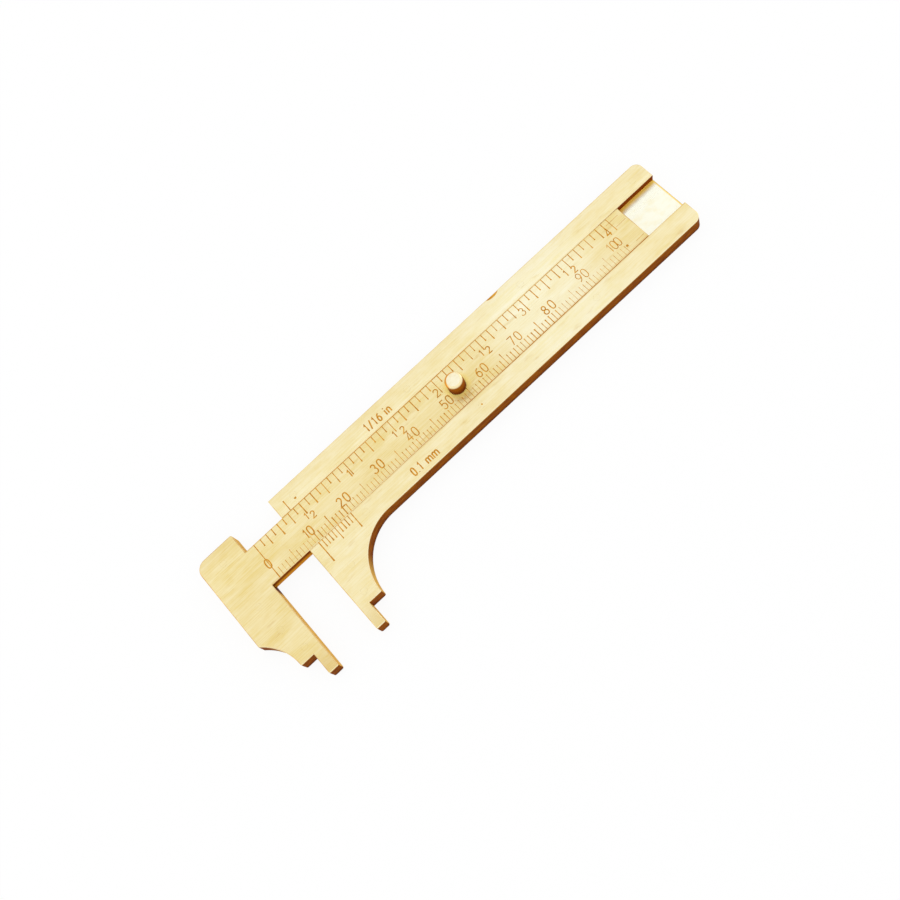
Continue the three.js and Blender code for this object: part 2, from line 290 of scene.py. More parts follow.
# Painted glow beside the upper rail on the channel's floor, golden at the floor's right end, and the floor
# beside the rail less metallic and smoother
BESIDE_RAIL_GLOW = (BAR_TOP - 1.1, BAR_TOP - 0.1)
FLOOR_END_GOLD = (FRAME_RIGHT - 0.5, FRAME_RIGHT - 0.1)
BESIDE_RAIL_DULL = (BAR_TOP - 1.35, BAR_TOP - 1.1)
BESIDE_RAIL_SMOOTH = (BAR_TOP - 4, BAR_TOP - 2, 1, 0.4)
KNOB_FOOT = (FACE_TOP, KNOB_TOP - 0.8)
KNOB_RIM = (KNOB_TOP - KNOB_EDGE_RADIUS, KNOB_TOP - 0.08)

# Normals of sides along X, which take painted light, of the knob's rim towards the head, where a painted
# reflection falls, and of edges turned down and right, which take a painted highlight
ENDWISE = (0.5, 1)
HEADWARD = (0.05, 0.35)
DOWNWARD = (-0.35, 0.05)
RIGHTWARD = (0.1, 0.6, 0, 0.4)

# The middle of a noise's range
MIDDLE = (0.3, 0.7)


def brushed_brass(name, highlight_tones, unlit_tones, brown, offset):
    """Flat brass sheet rubbed down lengthwise: a painted highlight palest round one place along X, browner at
    the tips, and a painted reflection of the knob round its foot.
    """
    finish = Finish(name)
    clouds = finish.noise((0.12, 0.3, 0.3), 2, offset)
    blotches = finish.noise((0.4, 1.1, 1.1), 2, offset)
    grain = finish.noise((0.07, 5, 5), 3, offset)
    stains = finish.noise((0.2, 0.9, 0.9), 4, offset)
    mottle = 0.0
    for noise, most in ((clouds, 0.4), (blotches, 0.25), (grain, 0.45)):
        mottle = finish.math("ADD", mottle, finish.spread(noise, *MIDDLE, 0, most))
    bright = finish.mix(mottle, *highlight_tones)
    dull = finish.mix(mottle, *unlit_tones)
    # Painted highlight: the paler tones round one place along X, the duller ones away from it
    tone = finish.mix(finish.off("X", HIGHLIGHT_X, *HIGHLIGHT_REACH), bright, dull)
    for zone in (RAIL_BROWN, TIP_BROWN, HEAD_BROWN):
        tone = finish.mix(finish.along("Y", *zone), tone, brown)
    tone = finish.mix(finish.spread(stains, 0.6, 0.84, 0, 0.45), tone, brown)
    away = [finish.off("Y", side, *SEAM_BROWN_REACH) for side in (BAR_FOOT, BAR_TOP)]
    close = finish.math("SUBTRACT", 1, finish.math("MINIMUM", *away))
    close = finish.math("MULTIPLY", close, finish.along("X", *PAST_HEAD))
    close = finish.math("MULTIPLY", close, finish.along("Y", *SEAM_BROWN))
    tone = finish.mix(close, tone, brown)
    # Painted reflection of the knob round its foot: a yellow tint, and less metallic there
    glow = finish.round_axis(*centre("thumb_knob"), *KNOB_GLOW)
    finish.colour(finish.mix(glow, tone, KNOB_GLINT))
    finish.metallic(finish.math("SUBTRACT", 1, finish.math("MULTIPLY", glow, 0.8)))
    finish.roughness(finish.spread(finish.math("ADD", grain, blotches), 0.7, 1.4, 0.3, 0.44))
    finish.bump(grain, 0.01, 0.4)
    return finish.material


def edge_brass(name, bright, light, dark):
    """The broken edge round a face: mottled light and brown by wear, with a painted highlight where it faces
    down the part and where it faces right, and painted shade where it faces up.
    """
    finish = Finish(name, 0.38, gloss=0.2)
    wear = finish.noise((0.5, 0.5, 0.5), 6)
    nicks = finish.noise((3, 3, 3), 3)
    tone = finish.mix(finish.spread(wear, 0.36, 0.64), dark, light)
    # Painted highlight on edges facing down the part; edges facing up keep the darker worn tone as painted
    # shade
    tone = finish.mix(finish.spread(finish.part_of("Normal", "Y"), *DOWNWARD), bright, tone)
    # Painted highlight on edges facing right
    finish.colour(finish.mix(finish.spread(finish.part_of("Normal", "X"), *RIGHTWARD), tone, bright))
    finish.bump(nicks, 0.02, 0.4)
    return finish.material


def seam_brass(name, bright, lower, upper, faded):
    """The edges along the slide: dirt in the lower seam, and a stain that fades out along the upper one."""
    finish = Finish(name, 0.42, 0.4, 0.1)
    dirt = finish.noise((0.6, 0.6, 0.6), 5)
    behind = finish.mix(finish.along("X", *UPPER_STAIN_END), upper, faded)
    before = finish.mix(finish.along("X", *LOWER_DIRT_START), faded, lower)
    tone = finish.mix(finish.along("Y", *UPPER_HALF), before, behind)
    tone = finish.mix(finish.spread(dirt, 0.45, 0.75, 0, 0.4), tone, faded)
    front = finish.mix(finish.along("Y", *UPPER_HALF), bright, upper)
    finish.colour(finish.mix(finish.along("X", *IN_FRAME), front, tone))
    finish.bump(dirt, 0.02, 0.4)
    return finish.material


def sheared_brass(name, light, dark, deep, gold):
    """The sheared side of the sheets: brown, partly tarnish and partly painted shade, streaked, with a
    painted contact shadow deepest on the lower sheet, a painted highlight along the top, and painted light on
    sides facing along X.
    """
    finish = Finish(name, 0.5, 0.5, 0.03)
    finish.shader.inputs["Specular Tint"].default_value = light
    streaks = finish.noise((0.6, 0.6, 3.4), 6)
    patches = finish.noise((0.35, 0.35, 0.8), 4)
    tears = finish.noise((9, 9, 1.5), 3)
    tone = finish.mix(finish.spread(streaks, 0.34, 0.68), dark, light)
    tone = finish.mix(finish.spread(patches, 0.45, 0.75, 0, 0.4), tone, deep)
    # Painted contact shadow: darker down the lower sheet, towards the table
    tone = finish.mix(finish.along("Z", *LOWER_SHEET), tone, deep)
    # Painted highlight: gold along the top of the side
    tone = finish.mix(finish.along("Z", *UPPER_RIM), tone, gold)
    # Sides facing along X: gold as painted light, but deep brown as painted shade in the corner under the bar
    # by the head's measuring face
    shaded = finish.mix(finish.along("Y", *UNDER_RAIL), gold, deep)
    shaded = finish.mix(finish.along("Y", *UPPER_HALF), shaded, gold)
    shaded = finish.mix(finish.off("X", FACE_X, *HEAD_FACE_REACH), shaded, gold)
    finish.colour(finish.mix(finish.endwise(), tone, shaded))
    finish.roughness(finish.spread(streaks, *MIDDLE, 0.42, 0.56))
    finish.bump(finish.math("ADD", tears, streaks), 0.03, 0.5)
    return finish.material


def channel_brass(name, glow, dark, gold, height, bare):
    """A side that slides on another: where it lies bare, dark red-brown above, as painted shade in the
    channel, and lighter at its foot as a painted reflected glow; gold further in where it is covered, and on
    sides facing along X as painted light.
    """
    finish = Finish(name, 0.45, 0.5, 0.03)
    finish.shader.inputs["Specular Tint"].default_value = gold
    lines = finish.noise((0.4, 0.4, 4), 5)
    # Painted light and shade by height: a reflected glow at the foot, dark red-brown above
    tone = finish.mix(finish.along("Z", *height), glow, dark)
    tone = finish.mix(finish.spread(lines, 0.5, 0.8, 0, 0.25), tone, glow)
    tone = finish.mix(finish.along("X", *bare), tone, gold)
    # Painted light: gold on sides facing along X
    finish.colour(finish.mix(finish.endwise(), tone, gold))
    finish.bump(lines, 0.02, 0.4)
    return finish.material


def cut_brass(name, light, dark):
    """The inside of an engraved line, where polish and dirt have turned brown."""
    finish = Finish(name, 0.55, 0.3, 0.03)
    grime_and_glow = finish.noise((1.1, 1.1, 1.1), 5)
    finish.colour(finish.mix(finish.spread(grime_and_glow, 0.34, 0.66), dark, light))
    finish.bump(finish.noise((14, 14, 14), 2), 0.01, 0.4)
    return finish.material


def drawn_brass(name, pale, gold, roughness, metallic, grime_and_glow=()):
    """Brass of a sliding or turning fit, nearly white; on the channel's floor the near-white is partly a
    painted highlight.

    Where given, a golden tone is laid at the channel floor's right end, and beside the upper rail as a
    painted glow reflected from its wall, less metallic there.
    """
    finish = Finish(name, roughness, metallic, 0.1)
    lines = finish.noise((0.2, 5, 5), 4)
    clouds = finish.noise((0.5, 0.8, 0.8), 4)
    tone = finish.mix(finish.spread(clouds, 0.42, 0.75, 0, 0.6), pale, gold)
    tone = finish.mix(finish.spread(lines, 0.55, 0.8, 0, 0.4), tone, gold)
    if grime_and_glow:
        # Painted glow reflected from the upper rail's wall onto the floor beside it
        tone = finish.mix(finish.along("Y", *BESIDE_RAIL_GLOW), tone, grime_and_glow)
        tone = finish.mix(finish.along("X", *FLOOR_END_GOLD), tone, grime_and_glow)
        finish.metallic(finish.along("Y", *BESIDE_RAIL_DULL, metallic, metallic * 0.1))
    finish.colour(tone)
    dull = finish.spread(lines, *MIDDLE, roughness * 0.85, roughness * 1.15)
    if grime_and_glow:
        dull = finish.math("MULTIPLY", dull, finish.along("Y", *BESIDE_RAIL_SMOOTH))
    finish.roughness(dull)
    finish.bump(lines, 0.008, 0.4)
    return finish.material


def knob_side(name, light, dark):
    """The turned side of the knob, with a painted shadow darkest at its foot."""
    finish = Finish(name, 0.4, 0.55, 0.05)
    finish.shader.inputs["Specular Tint"].default_value = light
    rings = finish.noise((0.4, 0.4, 7), 4)
    # Painted shadow: darker towards the knob's foot
    tone = finish.mix(finish.along("Z", *KNOB_FOOT), dark, light)
    finish.colour(finish.mix(finish.spread(rings, 0.45, 0.8, 0, 0.5), tone, dark))
    finish.bump(rings, 0.02, 0.4)
    return finish.material


def knob_rim(name, pale, headward_reflection, brown):
    """The knob's rounded rim: pale at the top as a painted highlight, browning down the side as painted
    shade, with a painted orange reflection towards the head.
    """
    finish = Finish(name, 0.36, 0.8, 0.1)
    leftward = finish.math("MULTIPLY", finish.part_of("Normal", "X"), 0.6)
    behind = finish.math("SUBTRACT", finish.part_of("Normal", "Y"), leftward)
    # Painted highlight at the top of the rim, painted shade down its side
    tone = finish.mix(finish.along("Z", *KNOB_RIM), brown, pale)
    # Painted reflection: orange on the side of the rim towards the head
    finish.colour(finish.mix(finish.spread(behind, *HEADWARD), tone, headward_reflection))
    finish.bump(finish.noise((3, 3, 3), 3), 0.02, 0.4)
    return finish.material


def make_spring_bronze():
    """Cold-rolled spring strip, redder than the brass."""
    finish = Finish("spring_bronze", 0.3)
    rolled = finish.noise((0.3, 9, 9), 4)
    heat = finish.noise((0.4, 0.4, 0.4), 4)
    tone = finish.mix(finish.spread(rolled, 0.35, 0.7), srgb(176, 112, 58), srgb(214, 156, 96))
    finish.colour(finish.mix(finish.spread(heat, 0.5, 0.8, 0, 0.5), tone, srgb(140, 80, 48)))
    finish.roughness(finish.spread(rolled, *MIDDLE, 0.22, 0.38))
    finish.bump(rolled, 0.008, 0.5)
    return finish.material


# Colour of the knob's painted reflection on the slide round its foot
KNOB_GLINT = srgb(255, 228, 128)
RAIL_TONES = (srgb(255, 250, 224), srgb(249, 238, 188)), (srgb(253, 244, 206), srgb(242, 224, 162))
RAIL_FACE = brushed_brass("rail_face", *RAIL_TONES, srgb(212, 174, 92), 0.0)
SLIDE_TONES = (srgb(255, 250, 220), srgb(246, 233, 184)), (srgb(249, 236, 190), srgb(236, 214, 142))
SLIDE_FACE = brushed_brass("slide_face", *SLIDE_TONES, srgb(206, 164, 78), 7.3)
BACK_TONES = (srgb(249, 238, 200), srgb(238, 220, 164)), (srgb(245, 231, 184), srgb(230, 207, 140))
BACK_FACE = brushed_brass("back_face", *BACK_TONES, srgb(204, 162, 82), 3.1)
# Edge colours: the first is the painted highlight
RAIL_EDGE = edge_brass("rail_edge", srgb(252, 242, 204), srgb(240, 216, 150), srgb(222, 184, 104))
SLIDE_EDGE = edge_brass("slide_edge", srgb(250, 238, 192), srgb(226, 184, 104), srgb(196, 140, 60))
SEAM_TONES = (srgb(240, 212, 142), srgb(204, 130, 24), srgb(240, 198, 108), srgb(248, 232, 182))
SEAM_EDGE = seam_brass("seam_edge", *SEAM_TONES)
# Sheared sides: brown partly as tarnish and partly as painted shade; GOLDEN is their painted light along X
# and painted highlight along the top
GOLDEN = srgb(238, 196, 98)
BRASS_WALL = sheared_brass("brass_wall", srgb(164, 98, 12), srgb(128, 70, 6), srgb(96, 44, 3), GOLDEN)
# Walls along the slide: dark where bare as painted shade, with a painted glow at the foot
BARE_FADE_LENGTH = 8
CHANNEL_HEIGHT = (BACK_TOP - 0.2, BACK_TOP + 0.4)
BARE_CHANNEL = (SLIDE_RIGHT + 0.5, SLIDE_RIGHT - BARE_FADE_LENGTH)
CHANNEL_TONES = (srgb(222, 160, 60), srgb(130, 54, 4), srgb(244, 206, 118))
CHANNEL_WALL = channel_brass("channel_wall", *CHANNEL_TONES, CHANNEL_HEIGHT, BARE_CHANNEL)
BAR_HEIGHT = (SLIDE_FLOOR + 0.6, FACE_TOP - 0.6)
BARE_BAR = (FRAME_LEFT - 0.5, FRAME_LEFT + BARE_FADE_LENGTH)
BAR_TONES = (srgb(200, 134, 34), srgb(122, 54, 4), srgb(244, 206, 118))
BAR_WALL = channel_brass("bar_wall", *BAR_TONES, BAR_HEIGHT, BARE_BAR)
BRASS_CUT = cut_brass("brass_cut", srgb(222, 166, 66), srgb(192, 130, 36))
# Golden tone of the channel's floor: a painted glow beside the upper rail, and at the floor's right end
CHANNEL_FLOOR_GOLD = srgb(255, 218, 104)
# The channel's near-white floor is partly a painted highlight
CHANNEL_FLOOR = drawn_brass("channel_floor", srgb(255, 254, 236), srgb(252, 244, 208), 0.4, 0.9, CHANNEL_FLOOR_GOLD)
KNOB_FACE = drawn_brass("knob_face", srgb(252, 245, 216), srgb(238, 220, 168), 0.34, 1)
# Rim colours: painted highlight, painted reflection towards the head, painted shade
KNOB_EDGE = knob_rim("knob_edge", srgb(250, 234, 186), srgb(218, 146, 40), srgb(156, 90, 16))
# Knob side colours: the second is its painted shadow at the foot
KNOB_WALL = knob_side("knob_wall", srgb(172, 104, 16), srgb(106, 48, 4))
SPRING_BRONZE = make_spring_bronze()


# Outlines, counter-clockwise as seen from above

def arc(centre_x, centre_y, radius, start, end, facets=ARC_FACETS):
    """Points on a circle from one angle to another, in degrees."""
    angles = [math.radians(start + (end - start) * i / facets) for i in range(facets + 1)]
    return [(centre_x + radius * math.cos(a), centre_y + radius * math.sin(a)) for a in angles]


def tip(left, right, radius):
    """The foot of a jaw, its two corners dulled."""
    low = TIP_Y + radius
    left_corner = arc(left + radius, low, radius, 180, 270, TIP_FACETS)
    return [*left_corner, *arc(right - radius, low, radius, 270, 360, TIP_FACETS)]


def frame_foot(radius=TIP_CORNER_RADIUS):
    """The lower side of the frame, from the jaw's measuring face to the right end."""
    shoulder_radius = LOW_RAIL_Y - STEP_Y
    step_x = FRAME_LEFT + FRAME_TIP_WIDTH + STEP_WIDTH
    start = 180 - math.degrees(math.asin(radius / shoulder_radius))
    corner_x = FRAME_RIGHT - CORNER_RADIUS
    return [
        *tip(FRAME_LEFT, FRAME_LEFT + FRAME_TIP_WIDTH, radius),
        (FRAME_LEFT + FRAME_TIP_WIDTH, STEP_Y),
        *arc(step_x - radius, STEP_Y + radius, radius, 270, 360, TIP_FACETS)[:-1],
        *arc(step_x + shoulder_radius, STEP_Y, shoulder_radius, start, 90, ROUND_FACETS),
        *arc(corner_x, LOW_RAIL_Y + CORNER_RADIUS, CORNER_RADIUS, -90, 0),
    ]


def frame_top_corner():
    return arc(FRAME_RIGHT - CORNER_RADIUS, RAIL_TOP_Y - CORNER_RADIUS, CORNER_RADIUS, 0, 90)


def back_outline(flare):
    return [*frame_foot(BACK_TIP_RADIUS), *frame_top_corner(), (FRAME_LEFT, RAIL_TOP_Y)]


def channel_half(flare):
    """Half the channel's width, wider by the flare at its floor."""
    return SLIDE_HALF + SEAM_GAP + flare


def lower_rail_outline(flare):
    edge = MID_Y - channel_half(flare)
    return [*frame_foot(), (FRAME_RIGHT, edge), (FRAME_LEFT, edge)]


def upper_rail_outline(flare):
    edge = MID_Y + channel_half(flare)
    return [(FRAME_LEFT, edge), (FRAME_RIGHT, edge), *frame_top_corner(), (FRAME_LEFT, RAIL_TOP_Y)]


def head_outline(bar=(), radius=TIP_CORNER_RADIUS):
    """The slide's head and jaw, with the bar's corners where it leaves the head."""
    step_x = FACE_X - HEAD_TIP_WIDTH - STEP_WIDTH
    shoulder_x = step_x - HEAD_SHOULDER_RADIUS
    shoulder_angle = math.degrees(math.acos((HEAD_LEFT - shoulder_x) / HEAD_SHOULDER_RADIUS))
    step_angle = math.degrees(math.asin(radius / HEAD_SHOULDER_RADIUS))
    inner_x, inner_y = FACE_X - HEAD_INNER_RADIUS, HEAD_TOP_Y - HEAD_INNER_RADIUS
    outer_x, outer_y = HEAD_LEFT + HEAD_OUTER_RADIUS, HEAD_TOP_Y - HEAD_OUTER_RADIUS
    return [
        *tip(FACE_X - HEAD_TIP_WIDTH, FACE_X, radius),
        *bar,
        *arc(inner_x, inner_y, HEAD_INNER_RADIUS, 0, 90, INNER_FACETS),
        *arc(outer_x, outer_y, HEAD_OUTER_RADIUS, 90, 180),
        *arc(shoulder_x, STEP_Y, HEAD_SHOULDER_RADIUS, shoulder_angle, step_angle, SHOULDER_FACETS),
        *arc(step_x + radius, STEP_Y + radius, radius, 180, 270, TIP_FACETS)[1:],
        (FACE_X - HEAD_TIP_WIDTH, STEP_Y),
    ]


def backing_outline(flare):
    return head_outline(radius=BACK_TIP_RADIUS)


def slide_outline(flare):
    low, high = MID_Y - (SLIDE_HALF + flare), MID_Y + (SLIDE_HALF + flare)
    return head_outline([(FACE_X, low), (SLIDE_RIGHT, low), (SLIDE_RIGHT, high), (FACE_X, high)])


# Solids

def prism(solid, low_outline, high_outline, low, high, kind=WALL):
    """Adds the solid between two level outlines of as many points."""
    bottom = [solid.verts.new((x, y, low)) for x, y in low_outline]
    top = [solid.verts.new((x, y, high)) for x, y in high_outline]
    count = len(bottom)
    sides = [(bottom[i], bottom[(i + 1) % count], top[(i + 1) % count], top[i]) for i in range(count)]
    for corners in (bottom[::-1], top, *sides):
        solid.faces.new(corners).material_index = kind


def block(solid, left, right, near, far, bottom, top):
    corners = [(left, near), (right, near), (right, far), (left, far)]
    prism(solid, corners, corners, bottom, top)


def turn(solid, profile, x, y, facets=ROUND_FACETS, kinds=()):
    """Adds a round solid about an upright axis, from radii and heights, lowest first."""
    rings = []
    for radius, height in profile:
        angles = [2 * math.pi * i / facets for i in range(facets if radius else 1)]
        rings.append([
            solid.verts.new((x + radius * math.cos(a), y + radius * math.sin(a), height)) for a in angles
        ])
    for index, (low, high) in enumerate(zip(rings, rings[1:])):
        for i in range(facets):
            j = (i + 1) % facets
            corners = [low[i % len(low)], low[j % len(low)], high[j % len(high)], high[i % len(high)]]
            face = solid.faces.new(list(dict.fromkeys(corners)))
            face.material_index = kinds[index] if kinds else WALL


# Keeps a groove's sharp corners from spiking
MITRE_LIMIT = 0.5


def groove(solid, points, width, depth, closed=False, swell=()):
    """Adds a V-shaped line along points on the upper face, as strong at each as swell says."""
    count = len(points)
    sections = []
    for i, point in enumerate(points):
        here = Vector(point)
        before = Vector(points[i - 1]) if closed or i else here
        after = Vector(points[(i + 1) % count]) if closed or i < count - 1 else here
        arriving, leaving = (here - before).normalized(), (after - here).normalized()
        heading = (arriving + leaving).normalized()
        square = max(heading.dot(leaving if leaving.length else arriving), MITRE_LIMIT)
        bite = swell[i] if swell else 1
        rise = depth * bite / 2
        half = width * bite / 2 * (depth * bite + rise) / (depth * bite)
        side = Vector((-heading.y, heading.x)) * half / square
        sections.append((
            solid.verts.new((*(here + side), FACE_TOP + rise)),
            solid.verts.new((*here, FACE_TOP - depth * bite)),
            solid.verts.new((*(here - side), FACE_TOP + rise)),
        ))
    pairs = list(zip(sections, sections[1:]))
    faces = []
    if closed:
        pairs.append((sections[-1], sections[0]))
    else:
        faces += [sections[0], sections[-1][::-1]]
    for first, second in pairs:
        faces += [(first[b], first[a], second[a], second[b]) for a, b in ((0, 1), (1, 2), (2, 0))]
    for corners in faces:
        solid.faces.new(corners).material_index = CUT


def add_object(name, data):
    thing = bpy.data.objects.new(name, data)
    bpy.context.scene.collection.objects.link(thing)
    return thing


def to_object(name, solid):
    mesh = bpy.data.meshes.new(name)
    bmesh.ops.recalc_face_normals(solid, faces=solid.faces)
    solid.to_mesh(mesh)
    solid.free()
    for _ in range(INNER + 1):
        mesh.materials.append(None)
    return add_object(name, mesh)


def carve(piece, cutter):
    """Takes a cutter out of a piece. The cut surfaces keep the cutter's kinds."""
    bmesh.ops.triangulate(cutter, faces=cutter.faces)
    tool = to_object("cutter", cutter)
    modifier = piece.modifiers.new("carve", "BOOLEAN")
    modifier.operation = "DIFFERENCE"
    modifier.solver = "EXACT"
    modifier.use_self = True
    modifier.object = tool
    done = piece.evaluated_get(bpy.context.evaluated_depsgraph_get())
    mesh = bpy.data.meshes.new_from_object(done)
    piece.modifiers.remove(modifier)
    old = piece.data
    piece.data = mesh
    bpy.data.meshes.remove(old)
    bpy.data.objects.remove(tool)


def split_faces(piece, sharp):
    """Triangulates faces of more than four sides, and marks the sharp edges."""
    solid = bmesh.new()
    solid.from_mesh(piece.data)
    many = [face for face in solid.faces if len(face.verts) > 4]
    bmesh.ops.triangulate(solid, faces=many)
    bmesh.ops.dissolve_degenerate(solid, dist=SLIVER, edges=solid.edges)
    solid.normal_update()
    for edge in solid.edges:
        level = [abs(face.normal.z) > LEVEL_SHARE for face in edge.link_faces]
        edge.smooth = len(set(level)) == 1 and edge.calc_face_angle(0) < math.radians(sharp)
    solid.to_mesh(piece.data)
    solid.free()


def dress(piece, finishes, node, body, sharp=SHARP):
    """Scales and shades a piece, and puts it on its body in place of its node."""
    split_faces(piece, sharp)
    piece.data.transform(Matrix.Scale(MM, 4))
    for index, finish in enumerate(finishes):
        piece.data.materials[index] = finish
    for _ in range(len(finishes), INNER + 1):
        piece.data.materials.pop()
    piece.data.shade_smooth()
    piece.data.name = piece.name
    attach(piece, body)
    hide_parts(node)


# Limits of a face on the joint, and the rise of a rim's face
SEAM_SLACK = FACE_ROUND * 1.5
SIDEWAYS = 0.3
RIM_RISE = 0.2


def along_bar(face):
    """Whether a face lies on the joint between the bar and the rails."""
    reach = abs(face.center.y - MID_Y) - SLIDE_HALF
    beside = -SEAM_SLACK < reach < DOVETAIL_FLARE + SEAM_SLACK and abs(face.normal.y) > SIDEWAYS
    return beside and face.center.x > FACE_X


def kind_of(face):
    """The kind of a plate's face, from the way it looks and where it lies."""
    up = face.normal.z
    if abs(up) > LEVEL_SHARE:
        return FACE
    if up > RIM_RISE and face.center.z > FACE_TOP - FACE_ROUND:
        return SEAM if along_bar(face) else EDGE
    return INNER if along_bar(face) else WALL


def plate(name, outline, low, high, low_round, high_round):
    """A plate whose outline follows the dovetail, its rims rounded and its faces sorted by kind."""
    solid = bmesh.new()
    prism(solid, outline(DOVETAIL_FLARE), outline(0), low, high)
    solid.normal_update()
    for height, width, steps in ((low, low_round, LOW_STEPS), (high, high_round, HIGH_STEPS)):
        rim = [e for e in solid.edges if all(abs(v.co.z - height) < FIT_GAP for v in e.verts)]
        bmesh.ops.bevel(solid, geom=rim, offset=width, segments=steps, profile=0.5, affect="EDGES")
    piece = to_object(name, solid)
    for face in piece.data.polygons:
        face.material_index = kind_of(face)
    return piece


def turned(node, body, finishes, profile, kinds, facets=ROUND_FACETS, sharp=SHARP):
    """Makes a round piece on its node's own axis, in place of the node."""
    solid = bmesh.new()
    turn(solid, profile, *centre(node), facets, kinds)
    dress(to_object(f"{node}_turned", solid), finishes, node, body, sharp)


# Rivets

def rivet_nodes(*bases):
    return [node for node in sorted(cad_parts) if node.startswith(bases)]


UPPER_RIVETS = rivet_nodes("upper_rail_rivet")
LOWER_RIVETS = rivet_nodes("lower_rail_rivet", "frame_jaw_rivet")
HEAD_RIVETS = rivet_nodes("slide_head_rivet")
PUNCHED = ("lower_rail_rivet_2",)


def rivet_holes(nodes):
    """A cutter with a countersunk hole for each rivet, running past both faces."""
    cutter = bmesh.new()
    for node in nodes:
        head = radius_of(node) + FIT_GAP
        shank = RIVET_RADIUS + FIT_GAP
        below, above = -RIVET_HEAD_DEPTH, FACE_TOP + RIVET_HEAD_DEPTH
        foot = [(0, below), (head, below), (head, 0), (shank, RIVET_HEAD_DEPTH)]
        top = [(shank, FACE_TOP - RIVET_HEAD_DEPTH), (head, FACE_TOP), (head, above), (0, above)]
        turn(cutter, foot + top, *centre(node))
    return cutter


def make_rivets(nodes, body, finish):
    """Flush rivets, of which one still shows the mark of the centre punch."""
    for node in nodes:
        head = radius_of(node)
        shank = [(RIVET_RADIUS, RIVET_HEAD_DEPTH), (RIVET_RADIUS, FACE_TOP - RIVET_HEAD_DEPTH)]
        profile = [(0, 0), (head, 0), *shank, (head, FACE_TOP)]
        kinds = [FACE, WALL, WALL, WALL, FACE]
        if node in PUNCHED:
            profile += [(PUNCH_RADIUS, FACE_TOP), (0, FACE_TOP - PUNCH_DEPTH)]
            kinds.append(CUT)
        else:
            profile.append((0, FACE_TOP))
        turned(node, body, (finish, SLIDE_EDGE, BRASS_WALL, BRASS_CUT), profile, kinds)


# Figures, drawn as strokes in shares of a figure's width and height

def oval(x_share, y_share, wide_share, tall_share, start, end, steps=14, fullness=1.0):
    """Points on an oval; a fullness below 1 squares its shoulders."""
    points = []
    for i in range(steps + 1):
        angle = math.radians(start + (end - start) * i / steps)
        across, up = math.cos(angle), math.sin(angle)
        across = math.copysign(abs(across) ** fullness, across)
        up = math.copysign(abs(up) ** fullness, up)
        points.append((x_share + wide_share * across, y_share + tall_share * up))
    return points


FIGURE_SHARES = {
    "0": [oval(0.5, 0.5, 0.46, 0.5, 90, 450, 20, 0.75)],
    "1": [[(0.25, 0.8), (0.55, 1), (0.55, 0)]],
    "2": [oval(0.5, 0.72, 0.45, 0.28, 165, -25, 10) + [(0.04, 0), (0.98, 0)]],
    "3": [oval(0.48, 0.76, 0.42, 0.24, 160, -70, 10), oval(0.48, 0.28, 0.5, 0.28, 75, -160, 12)],
    "4": [[(0.72, 0), (0.72, 1), (0.02, 0.3), (1, 0.3)]],
    "5": [[(0.9, 1), (0.2, 1), (0.12, 0.56)] + oval(0.48, 0.32, 0.5, 0.32, 120, -150, 12)],
    "6": [[(0.88, 0.96), (0.5, 0.86), (0.16, 0.6)] + oval(0.5, 0.3, 0.46, 0.3, 165, 510, 16)],
    "7": [[(0, 1), (1, 1), (0.38, 0)]],
    "8": [oval(0.5, 0.76, 0.38, 0.22, 90, 450), oval(0.5, 0.26, 0.48, 0.26, 90, 450)],
    "9": [[(0.12, 0.04), (0.5, 0.14), (0.84, 0.4)] + oval(0.5, 0.7, 0.46, 0.3, -15, 330, 16)],
    "/": [[(0, -0.05), (1, 1.05)]],
    ".": [[(0.5, 0), (0.5, 0.08)]],
    " ": [],
    "i": [[(0.5, 0), (0.5, 0.66)], [(0.5, 0.88), (0.5, 0.98)]],
    "n": [[(0.05, 0.66), (0.05, 0)], [(0.05, 0.42)] + oval(0.5, 0.36, 0.42, 0.3, 150, 0, 7) + [(0.92, 0)]],
    "m": [
        [(0.02, 0.66), (0.02, 0)],
        [(0.02, 0.42)] + oval(0.26, 0.46, 0.22, 0.2, 150, 0, 6) + [(0.48, 0)],
        [(0.5, 0.42)] + oval(0.75, 0.46, 0.23, 0.2, 150, 0, 6) + [(0.98, 0)],
    ],
}

WIDTH_SHARES = {"m": 1.7, "/": 0.8, "i": 0.3, ".": 0.2, " ": 0.5}

FIGURE_STROKE = 0.3
FIGURE_DEPTH = 0.08
FIGURE_WIDTH = 1.1
FIGURE_HEIGHT = 2.2
INCH_FIGURE_HEIGHT = 1.85
HALF_FIGURE_WIDTH = 0.95
HALF_FIGURE_HEIGHT = 1.6
HALF_FIGURE_WEIGHT = 0.85


def figures(cutter, text, left, foot, width, height, gap=0.0, weight=1.0):
    """Cuts a run of figures, each stroke as a line of its own."""
    start = left
    for figure in text:
        wide = width * WIDTH_SHARES.get(figure, 1)
        for shares in FIGURE_SHARES[figure]:
            points = [(start + x * wide, foot + y * height) for x, y in shares]
            closed = (Vector(points[0]) - Vector(points[-1])).length < FIT_GAP
            line = points[:-1] if closed else points
            groove(cutter, line, FIGURE_STROKE * weight, FIGURE_DEPTH * weight, closed)
        start += wide + gap


# Scales

